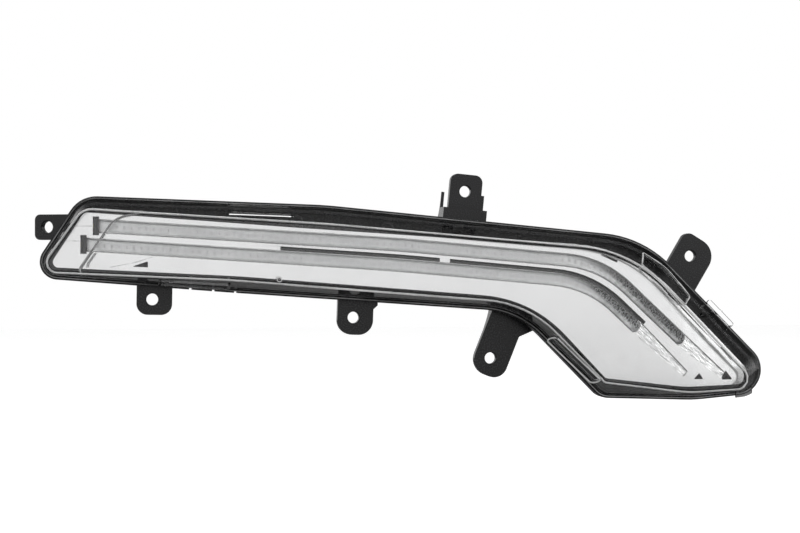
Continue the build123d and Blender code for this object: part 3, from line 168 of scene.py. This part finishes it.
# Raised rims on the lens skirt, seen from the front, and the slope that the heel's rim lies on
HEEL_RIM = [(50.9, -93.9, 1.8), (80.3, -122.2, 1.8), (77.7, -124.8, 1.8), (48.3, -96.5, 1.8)]
HEEL_SLOPE = (-42.0 * MM, -28.0 * MM)
SHOULDER_RIM = [
    (113.6, -40.0, 1.2),
    (130.5, -50.3, 30.0),
    (145.6, -68.7, 1.2),
    (139.0, -74.1, 1.2),
    (109.1, -47.9, 1.2),
]
RIM_BEAD = 0.0005
# Ribs inside the lens face at the nose, as open paths
LENS_RIB = [(-246.5, -54.6, 0.0), (-248.2, -50.5, 3.0), (-226.5, -19.0, 16.0), (-209.8, -16.0, 0.0)]
SHORT_RIB = [(-243.6, -49.7, 0.0), (-243.2, -47.4, 1.5), (-238.7, -40.9, 0.0)]
RIB_DEPTH = 0.0036
RIB_BEAD = 0.00055
SHORT_RIB_BEAD = 0.00035
# Mark of the mould's gate: its place and its two radii in millimetres, its beads and their rise off the face
GATE = (-126.4, -57.1)
GATE_RING = 1.5
GATE_RING_BEAD = 0.00025
GATE_RING_RISE = 0.0003
GATE_CENTRE = 0.6
GATE_CENTRE_BEAD = 0.0003
GATE_CENTRE_RISE = 0.0004

# Sockets of a node that mixes colours
MIX_FACTOR = 0
MIX_FIRST = 6
MIX_SECOND = 7
MIX_RESULT = 2


# Nodes

def new_material(name):
    """A material with its node tree and its Principled shader."""
    mat = bpy.data.materials.new(name)
    mat.use_nodes = True
    return mat, mat.node_tree, mat.node_tree.nodes["Principled BSDF"]


def grey(level):
    """A neutral colour."""
    return (level, level, level)


def feed(tree, socket, value):
    """Gives a socket a number, a colour or what another socket holds."""
    if isinstance(value, bpy.types.NodeSocket):
        tree.links.new(value, socket)
    else:
        socket.default_value = (*value, 1.0) if isinstance(value, tuple) else value


def noise(tree, scale, detail=3.0, stretch=(1.0, 1.0, 1.0), roughness=0.5, turn=0.0):
    """A noise texture in the frame's own coordinates, turned about Y; scale is in waves per metre."""
    where = tree.nodes.new("ShaderNodeTexCoord")
    mapping = tree.nodes.new("ShaderNodeMapping")
    texture = tree.nodes.new("ShaderNodeTexNoise")
    mapping.vector_type = "TEXTURE"
    mapping.inputs["Scale"].default_value = [1 / way for way in stretch]
    mapping.inputs["Rotation"].default_value = (0.0, turn, 0.0)
    texture.inputs["Scale"].default_value = scale
    texture.inputs["Detail"].default_value = detail
    texture.inputs["Roughness"].default_value = roughness
    tree.links.new(where.outputs["Object"], mapping.inputs["Vector"])
    tree.links.new(mapping.outputs["Vector"], texture.inputs["Vector"])
    return texture.outputs["Fac"]


def spread(tree, source, low, high, start=0.3, end=0.7):
    """A value that runs from low to high while the source runs from start to end."""
    remap = tree.nodes.new("ShaderNodeMapRange")
    tree.links.new(source, remap.inputs["Value"])
    for name, value in (("From Min", start), ("From Max", end), ("To Min", low), ("To Max", high)):
        feed(tree, remap.inputs[name], value)
    return remap.outputs["Result"]


def choose(tree, source, low, high):
    """A value that is low where the source is 0 and high where it is 1."""
    return spread(tree, source, low, high, 0.0, 1.0)


def blend(tree, source, first, second):
    """The first colour where the source is 0 and the second where it is 1."""
    mix = tree.nodes.new("ShaderNodeMix")
    mix.data_type = "RGBA"
    feed(tree, mix.inputs[MIX_FACTOR], source)
    feed(tree, mix.inputs[MIX_FIRST], first)
    feed(tree, mix.inputs[MIX_SECOND], second)
    return mix.outputs[MIX_RESULT]


def maths(tree, operation, first, second):
    """The result of a sum on two values, each a number or a socket."""
    node = tree.nodes.new("ShaderNodeMath")
    node.operation = operation
    feed(tree, node.inputs[0], first)
    feed(tree, node.inputs[1], second)
    return node.outputs[0]


def bump(tree, shader, source, strength, distance):
    """A bump from the source on the shader's normal."""
    node = tree.nodes.new("ShaderNodeBump")
    node.inputs["Strength"].default_value = strength
    node.inputs["Distance"].default_value = distance
    tree.links.new(source, node.inputs["Height"])
    tree.links.new(node.outputs["Normal"], shader.inputs["Normal"])


def axes(tree, output="Object"):
    """The three parts of a place in the frame's own coordinates."""
    where = tree.nodes.new("ShaderNodeTexCoord")
    parts = tree.nodes.new("ShaderNodeSeparateXYZ")
    tree.links.new(where.outputs[output], parts.inputs["Vector"])
    return parts.outputs


def between(tree, source, start, full, fading, end):
    """A value of 1 while the source runs from full to fading, and of 0 outside start and end."""
    return maths(tree, "MULTIPLY", spread(tree, source, 0.0, 1.0, start, full),
                 spread(tree, source, 1.0, 0.0, fading, end))


def side_walls(tree):
    """A value of 1 on walls that don't face the front."""
    geometry = tree.nodes.new("ShaderNodeNewGeometry")
    parts = tree.nodes.new("ShaderNodeSeparateXYZ")
    tree.links.new(geometry.outputs["Normal"], parts.inputs["Vector"])
    return spread(tree, parts.outputs["Y"], 0.0, 1.0, *SIDE_WALL)


def depth_behind_face(tree, place):
    """How deep a place lies behind the lens face."""
    across = maths(tree, "SUBTRACT", place["X"], FACE_CENTRE_X)
    rise = maths(tree, "DIVIDE", maths(tree, "MULTIPLY", across, across), 2 * FACE_RADIUS)
    return maths(tree, "SUBTRACT", maths(tree, "SUBTRACT", place["Y"], FACE_CROWN), rise)


# Materials

def opaque(name, dark, light, rough, metallic=0.0, grain=900.0, mottle=45.0, depth=0.00003,
           stretch=(1.0, 1.0, 1.0), coat=0.0, specular=0.5):
    """An opaque surface with mottled colour, uneven roughness and a fine grain."""
    mat, tree, shader = new_material(name)
    soft = spread(tree, noise(tree, mottle, detail=4.0), 0.0, 1.0)
    fine = noise(tree, grain, detail=2.0, stretch=stretch)
    feed(tree, shader.inputs["Base Color"], blend(tree, soft, dark, light))
    feed(tree, shader.inputs["Roughness"], spread(tree, fine, *rough))
    bump(tree, shader, fine, GRAIN_BUMP, depth)
    shader.inputs["Metallic"].default_value = metallic
    shader.inputs["Coat Weight"].default_value = coat
    shader.inputs["Specular IOR Level"].default_value = specular
    return mat


def clear(name, colour, rough, ior=1.49, ripple=0.0):
    """A clear plastic that lets lamps shine through it, with slightly uneven polish."""
    mat, tree, shader = new_material(name)
    feed(tree, shader.inputs["Base Color"], colour)
    feed(tree, shader.inputs["Roughness"], spread(tree, noise(tree, CLEAR_WAVES), *rough))
    shader.inputs["Transmission Weight"].default_value = 1.0
    shader.inputs["IOR"].default_value = ior
    if ripple:
        bump(tree, shader, noise(tree, RIPPLE_WAVES, detail=2.0), RIPPLE_BUMP, ripple)
    rays = tree.nodes.new("ShaderNodeLightPath")
    through = tree.nodes.new("ShaderNodeBsdfTransparent")
    mix = tree.nodes.new("ShaderNodeMixShader")
    feed(tree, through.inputs["Color"], colour)
    tree.links.new(rays.outputs["Is Shadow Ray"], mix.inputs["Fac"])
    tree.links.new(shader.outputs["BSDF"], mix.inputs[1])
    tree.links.new(through.outputs["BSDF"], mix.inputs[2])
    tree.links.new(mix.outputs["Shader"], tree.nodes["Material Output"].inputs["Surface"])
    return mat


def bezel_coating():
    """The bezel's bright coating, streaked in the run-outs; its rear and deep walls are uncoated and black,
    and the shadow slot's floor is painted black as shade.
    """
    mat, tree, shader = new_material("bright_reflector")
    place = axes(tree)
    depth = depth_behind_face(tree, place)
    walls = side_walls(tree)
    deep_walls = maths(tree, "MULTIPLY", walls, spread(tree, depth, 0.0, 1.0, *WALL_COATING_END))
    bare_and_shade = maths(tree, "MAXIMUM", spread(tree, place["Y"], 0.0, 1.0, *COATING_END), deep_walls)
    # The shadow slot's floor is painted black as shade
    bare_and_shade = maths(tree, "MAXIMUM", bare_and_shade, between(tree, depth, *SLOT_FLOOR))
    run_outs = maths(tree, "MULTIPLY", between(tree, depth, *RUN_OUT_FLOOR), choose(tree, walls, 1.0, 0.0))
    streaks = noise(tree, STREAK_WAVES, detail=4.0, stretch=STREAK_STRETCH, roughness=0.7, turn=RUN_OUT_TURN)
    soft = spread(tree, noise(tree, COATING_WAVES, detail=4.0), 0.0, 1.0)
    mottled = blend(tree, soft, *map(grey, COATING_GREYS))
    streaked = blend(tree, spread(tree, streaks, 0.0, 1.0, *STREAK_EDGE), *map(grey, STREAK_GREYS))
    coating = blend(tree, run_outs, mottled, streaked)
    feed(tree, shader.inputs["Base Color"], blend(tree, bare_and_shade, coating, grey(BARE_AND_SHADE_GREY)))
    feed(tree, shader.inputs["Metallic"], choose(tree, bare_and_shade, 1.0, 0.0))
    polish = noise(tree, POLISH_WAVES, detail=2.0)
    feed(tree, shader.inputs["Roughness"], spread(tree, polish, *COATING_ROUGH))
    bump(tree, shader, maths(tree, "MULTIPLY", streaks, run_outs), *STREAK_BUMP)
    return mat


def guide_plastic(name, sparkle):
    """The clear plastic of a light guide: satin along its run, and faceted on the outer side near its tip,
    where dark reflections are painted in as near-black flecks.
    """
    offset, start, full = sparkle
    mat = clear(name, GUIDE_COLOUR, GUIDE_ROUGH)
    tree = mat.node_tree
    shader = tree.nodes["Principled BSDF"]
    place = axes(tree)
    across = maths(tree, "ADD", maths(tree, "MULTIPLY", place["X"], GUIDE_SIDE[0]),
                   maths(tree, "MULTIPLY", place["Z"], GUIDE_SIDE[1]))
    outer = spread(tree, across, 0.0, 1.0, offset + SPARKLE_EDGE[0], offset + SPARKLE_EDGE[1])
    facets = maths(tree, "MULTIPLY", outer, spread(tree, place["X"], 0.0, 1.0, start, full))
    front_facets = maths(tree, "MULTIPLY", facets, choose(tree, side_walls(tree), 1.0, 0.0))
    sparkle_noise = noise(tree, SPARKLE_WAVES, detail=0.0, stretch=SPARKLE_STRETCH, turn=RUN_OUT_TURN)
    # Painted reflection: near-black flecks among the facets near the tip
    painted_dark_sparkle = maths(tree, "MULTIPLY", front_facets, spread(tree, sparkle_noise, 1.0, 0.0, *SPARKLE_PAINT_EDGE))
    dotted = spread(tree, noise(tree, DOT_WAVES, detail=2.0), 0.0, 1.0)
    dots = blend(tree, dotted, DOT_COLOUR, grey(1.0))
    feed(tree, shader.inputs["Base Color"], blend(tree, painted_dark_sparkle, dots, grey(SPARKLE_PAINT_GREY)))
    bump(tree, shader, maths(tree, "MULTIPLY", sparkle_noise, facets), *SPARKLE_BUMP)
    return mat


BLACK_PLASTIC = opaque("black_plastic", (0.008, 0.008, 0.0085), (0.014, 0.014, 0.015), (0.2, 0.32),
                       specular=0.35)
BLACK_COVER = opaque("black_cover", (0.011, 0.011, 0.012), (0.018, 0.018, 0.019), (0.4, 0.55), grain=700.0)
SEAL_RUBBER = opaque("seal_rubber", grey(0.012), grey(0.02), (0.6, 0.75), grain=500.0)
BRIGHT = bezel_coating()
BLACK_ZINC = opaque("black_zinc_screw", (0.02, 0.02, 0.021), (0.035, 0.035, 0.036), (0.35, 0.5), metallic=0.6,
                    grain=600.0)
ZINC = opaque("zinc_screw", grey(0.5), (0.68, 0.68, 0.66), (0.25, 0.4), metallic=1.0, grain=600.0)
CAST_METAL = opaque("cast_aluminium", (0.58, 0.59, 0.6), (0.7, 0.71, 0.72), (0.4, 0.6), metallic=1.0,
                    grain=350.0, depth=0.00008)
TIN = opaque("tinned_contact", (0.72, 0.7, 0.62), (0.82, 0.8, 0.74), (0.2, 0.32), metallic=1.0)
WHITE_BOARD = opaque("white_board", (0.78, 0.78, 0.76), (0.84, 0.84, 0.82), (0.3, 0.45))
GREEN_BOARD = opaque("green_board", (0.01, 0.07, 0.03), (0.02, 0.1, 0.045), (0.25, 0.4), coat=0.3)
LED_BODY = opaque("led_package", (0.8, 0.74, 0.4), (0.86, 0.8, 0.46), (0.3, 0.45))
CHIP_BODY = opaque("chip_body", (0.016, 0.016, 0.017), (0.028, 0.028, 0.03), (0.5, 0.6), grain=1500.0)
CORE_BODY = opaque("choke_body", (0.03, 0.03, 0.032), (0.05, 0.05, 0.052), (0.5, 0.7), grain=400.0)
RIBBON = opaque("ribbon", (0.32, 0.14, 0.03), (0.4, 0.19, 0.05), (0.3, 0.42), grain=700.0,
                stretch=(0.2, 1.0, 6.0))
MEMBRANE = opaque("membrane", (0.8, 0.8, 0.79), (0.9, 0.9, 0.89), (0.75, 0.9), grain=2500.0, depth=0.00006)
LENS_CLEAR = clear("clear_lens", (0.985, 0.987, 0.988), (0.0, 0.015), ior=1.4, ripple=0.000002)
UPPER_GUIDE = guide_plastic("upper_guide_clear", UPPER_SPARKLE)
LOWER_GUIDE = guide_plastic("lower_guide_clear", LOWER_SPARKLE)
# Painted highlight: light grey lines for the light caught along the clear lens's edges and rims
EDGE_HIGHLIGHT = opaque("edge_highlight", grey(0.5), grey(0.68), (0.2, 0.32), grain=300.0)
# Painted shading: a grey line where the clear ribs inside the lens bend the light
RIB_SHADING = opaque("rib_shading", grey(0.2), grey(0.32), (0.15, 0.3), grain=300.0)
# Painted highlight: a patchy grey line for the light caught along the front edge of the flange's lip
LIP_HIGHLIGHT = opaque("lip_highlight", grey(0.02), grey(0.4), (0.2, 0.3), grain=300.0, mottle=22.0)
GATE_MARK = opaque("gate_mark", grey(0.03), grey(0.08), (0.3, 0.4), grain=800.0)

FINISHES = {
    "housing": BLACK_PLASTIC,
    "lens": LENS_CLEAR,
    "lens_seal": SEAL_RUBBER,
    "reflector_bezel": BRIGHT,
    "bezel_screws": BLACK_ZINC,
    "upper_light_guide": UPPER_GUIDE,
    "lower_light_guide": LOWER_GUIDE,
    "guide_holder": BLACK_COVER,
    "upper_led": LED_BODY,
    "lower_led": LED_BODY,
    "upper_led_board": WHITE_BOARD,
    "lower_led_board": WHITE_BOARD,
    "led_flex": RIBBON,
    "heat_sink": CAST_METAL,
    "heat_sink_gasket": SEAL_RUBBER,
    "rear_cover": BLACK_COVER,
    "rear_cover_gasket": SEAL_RUBBER,
    "rear_screws": ZINC,
    "driver_board": GREEN_BOARD,
    "driver_inductor": CORE_BODY,
    "driver_capacitors": CAST_METAL,
    "driver_chip": CHIP_BODY,
    "board_screws": ZINC,
    "connector_pins": TIN,
    "vent_membrane": MEMBRANE,
    "vent_cap": BLACK_COVER,
}

for node_name, finish in FINISHES.items():
    mesh = NODES[node_name].data
    mesh.materials.clear()
    mesh.materials.append(finish)


# Paths in X and Z

def arc_points(before, corner, after, steps=8):
    """Points along the arc that rounds one corner of a path."""
    here = Vector(corner[:2])
    to_before = (Vector(before[:2]) - here).normalized()
    to_after = (Vector(after[:2]) - here).normalized()
    half = to_before.angle(to_after) / 2
    centre = here + (to_before + to_after).normalized() * corner[2] / math.sin(half)
    first = here + to_before * corner[2] / math.tan(half) - centre
    last = here + to_after * corner[2] / math.tan(half) - centre
    spokes = [first.lerp(last, step / steps).normalized() for step in range(steps + 1)]
    return [centre + spoke * corner[2] for spoke in spokes]


def rounded(corners, closed=True):
    """The points of a path of straight runs joined by arcs."""
    if closed:
        befores, afters = corners[-1:] + corners[:-1], corners[1:] + corners[:1]
        return [p for b, c, a in zip(befores, corners, afters) for p in arc_points(b, c, a)]
    points = [Vector(corners[0][:2])]
    for before, corner, after in zip(corners, corners[1:], corners[2:]):
        points += arc_points(before, corner, after)
    return points + [Vector(corners[-1][:2])]


def divided(path, closed, step=4.0):
    """A path with points added on its long runs, so that a bead follows a curved surface."""
    points = [Vector(point) for point in path]
    ends = points[1:] + points[:1] if closed else points[1:]
    close_points = []
    for here, there in zip(points, ends):
        parts = max(1, round((there - here).length / step))
        close_points += [here.lerp(there, part / parts) for part in range(parts)]
    return close_points if closed else close_points + points[-1:]


def inward(points, distance):
    """A closed clockwise path moved inward."""
    moved = []
    for before, here, after in zip(points[-1:] + points[:-1], points, points[1:] + points[:1]):
        way = (after - before).normalized()
        moved.append(here + Vector((way.y, -way.x)) * distance)
    return moved


def ring(centre, radius, count=20):
    """Points round a circle."""
    turns = [2 * math.pi * number / count for number in range(count)]
    return [(centre[0] + radius * math.cos(t), centre[1] + radius * math.sin(t)) for t in turns]


# Layers: each gives the Y of a surface at an x and a z in metres

def on_lens(x, z):
    """Where a line from the front first meets the lens, or the lip's level beside it."""
    hit, place, _, _ = NODES["lens"].ray_cast((x, FACE_CROWN * 2, z), (0.0, 1.0, 0.0))
    return min(place.y, LIP_FRONT) if hit else LIP_FRONT


def on_lip(x, z):
    """The front of the flange's lip."""
    return LIP_FRONT + LIP_BEAD / 2


def on_slope(corners, front, rear):
    """The layer of a slope from the first side of a frame to the opposite one."""
    start = Vector(corners[0][:2]) * MM
    across = Vector(corners[-1][:2]) * MM - start
    return lambda x, z: front + (rear - front) * (Vector((x, z)) - start).dot(across) / across.length_squared


def on_depth(depth):
    """The layer at a depth behind the lens face."""
    radius = FACE_RADIUS - depth
    return lambda x, z: FACE_CROWN + FACE_RADIUS - math.sqrt(radius ** 2 - (x - FACE_CENTRE_X) ** 2)


# Moulded details of the lens and the front of the flange's lip, drawn as beads that carry painted highlights
# and painted shading

def add(name, data):
    """A new object in the scene."""
    obj = bpy.data.objects.new(name, data)
    bpy.context.scene.collection.objects.link(obj)
    return obj


def bead(name, path, layer, radius, finish, closed=True):
    """A thin round bead on a layer, along a path of x and z in millimetres."""
    curve = bpy.data.curves.new(name, "CURVE")
    curve.dimensions = "3D"
    curve.bevel_depth = radius
    curve.bevel_resolution = 3
    curve.use_fill_caps = True
    spline = curve.splines.new("POLY")
    places = divided(path, closed)
    spline.points.add(len(places) - 1)
    for point, (x, z) in zip(spline.points, places):
        point.co = (x * MM, layer(x * MM, z * MM), z * MM, 1.0)
    spline.use_cyclic_u = closed
    curve.materials.append(finish)
    piece = add(name, curve)
    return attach(piece, "root")


# Painted highlight along the edge of the lens face
bead("lens_edge_highlight", inward(rounded(LENS_EDGE), EDGE_INSET), on_depth(EDGE_INSET * MM), EDGE_BEAD, EDGE_HIGHLIGHT)
# Painted shading along the clear ribs inside the lens face at the nose
bead("lens_rib_edge", rounded(LENS_RIB, False), on_depth(RIB_DEPTH), RIB_BEAD, RIB_SHADING, closed=False)
bead("short_rib_edge", rounded(SHORT_RIB, False), on_depth(RIB_DEPTH), SHORT_RIB_BEAD, RIB_SHADING, closed=False)
# Painted highlights along the raised rims on the lens skirt
bead("heel_rim_highlight", rounded(HEEL_RIM), on_slope(HEEL_RIM, *HEEL_SLOPE), RIM_BEAD, EDGE_HIGHLIGHT)
bead("shoulder_rim_highlight", rounded(SHOULDER_RIM), on_lens, RIM_BEAD, EDGE_HIGHLIGHT)
# Painted highlight along the front of the flange's lip
bead("lip_highlight", inward(rounded(FLANGE_EDGE), LIP_INSET), on_lip, LIP_BEAD, LIP_HIGHLIGHT)
# Painted highlight round the gate mark
bead("gate_ring_highlight", ring(GATE, GATE_RING), on_depth(-GATE_RING_RISE), GATE_RING_BEAD, EDGE_HIGHLIGHT)
bead("gate_centre", ring(GATE, GATE_CENTRE), on_depth(-GATE_CENTRE_RISE), GATE_CENTRE_BEAD, GATE_MARK)


# Studio

def aim(obj, target):
    """Turns an object's -Z axis towards a point."""
    obj.rotation_euler = (Vector(target) - obj.location).to_track_quat("-Z", "Y").to_euler()


def softbox(name, place, width, height, power):
    """A large soft lamp."""
    light = bpy.data.lights.new(name, "AREA")
    light.shape = "RECTANGLE"
    light.size = width
    light.size_y = height
    light.energy = power
    lamp = add(name, light)
    lamp.location = place
    aim(lamp, LAMP_TARGET)


def by_ray(tree, lit, reflected, seen):
    """A strength for the light on things, for what metal and glass show, and for what the camera sees."""
    rays = tree.nodes.new("ShaderNodeLightPath").outputs
    either = maths(tree, "MAXIMUM", rays["Is Glossy Ray"], rays["Is Transmission Ray"])
    return choose(tree, rays["Is Camera Ray"], choose(tree, either, lit, reflected), seen)


def light_world():
    """A world that is white for the camera, and darker towards its ceiling in what metal and glass show."""
    world = bpy.data.worlds.new("studio")
    world.use_nodes = True
    tree = world.node_tree
    background = tree.nodes["Background"]
    shade = spread(tree, axes(tree, "Generated")["Z"], 1.0, CEILING, CEILING_START, CEILING_END)
    feed(tree, background.inputs["Color"], grey(1.0))
    feed(tree, background.inputs["Strength"], by_ray(tree, WORLD_LIGHT, shade, 1.0))
    bpy.context.scene.world = world


def pale_floor():
    """The floor's material: white for the camera, and darker near the part in what metal and glass show."""
    mat, tree, shader = new_material("pale_floor")
    y = axes(tree)["Y"]
    near_y, near_glow, near_grey = FLOOR_NEAR
    far_y, far_glow, far_grey = FLOOR_FAR
    mirrored_grey = spread(tree, y, far_grey, near_grey, far_y, near_y)
    mirrored_glow = spread(tree, y, far_glow, near_glow, far_y, near_y)
    feed(tree, shader.inputs["Base Color"], by_ray(tree, FLOOR_GREY, mirrored_grey, FLOOR_GREY))
    feed(tree, shader.inputs["Emission Color"], grey(1.0))
    feed(tree, shader.inputs["Emission Strength"], by_ray(tree, 0.0, mirrored_glow, FLOOR_GLOW))
    shader.inputs["Roughness"].default_value = FLOOR_ROUGHNESS
    return mat


def lay_floor():
    """A large square below the part."""
    half = FLOOR_SIZE / 2
    floor_z = CAD_BOX[0][2] - FLOOR_DROP
    corners = [(x, y, floor_z) for x, y in ((-half, -half), (half, -half), (half, half), (-half, half))]
    floor_mesh = bpy.data.meshes.new("floor")
    floor_mesh.from_pydata(corners, [], [(0, 1, 2, 3)])
    floor_mesh.materials.append(pale_floor())
    floor = add("floor", floor_mesh)


def set_camera():
    """The camera at the photograph's viewing angle."""
    camera_data = bpy.data.cameras.new("camera")
    camera_data.lens = CAMERA_LENS
    camera_data.sensor_width = SENSOR_WIDTH
    camera_data.clip_start, camera_data.clip_end = CAMERA_CLIP
    camera = add("camera", camera_data)
    camera.location = CAMERA_PLACE
    aim(camera, CAMERA_TARGET)
    bpy.context.scene.camera = camera


light_world()
lay_floor()
for lamp_name, lamp_values in LAMPS.items():
    softbox(lamp_name, *lamp_values)
set_camera()
bpy.context.scene.view_settings.view_transform = "Standard"
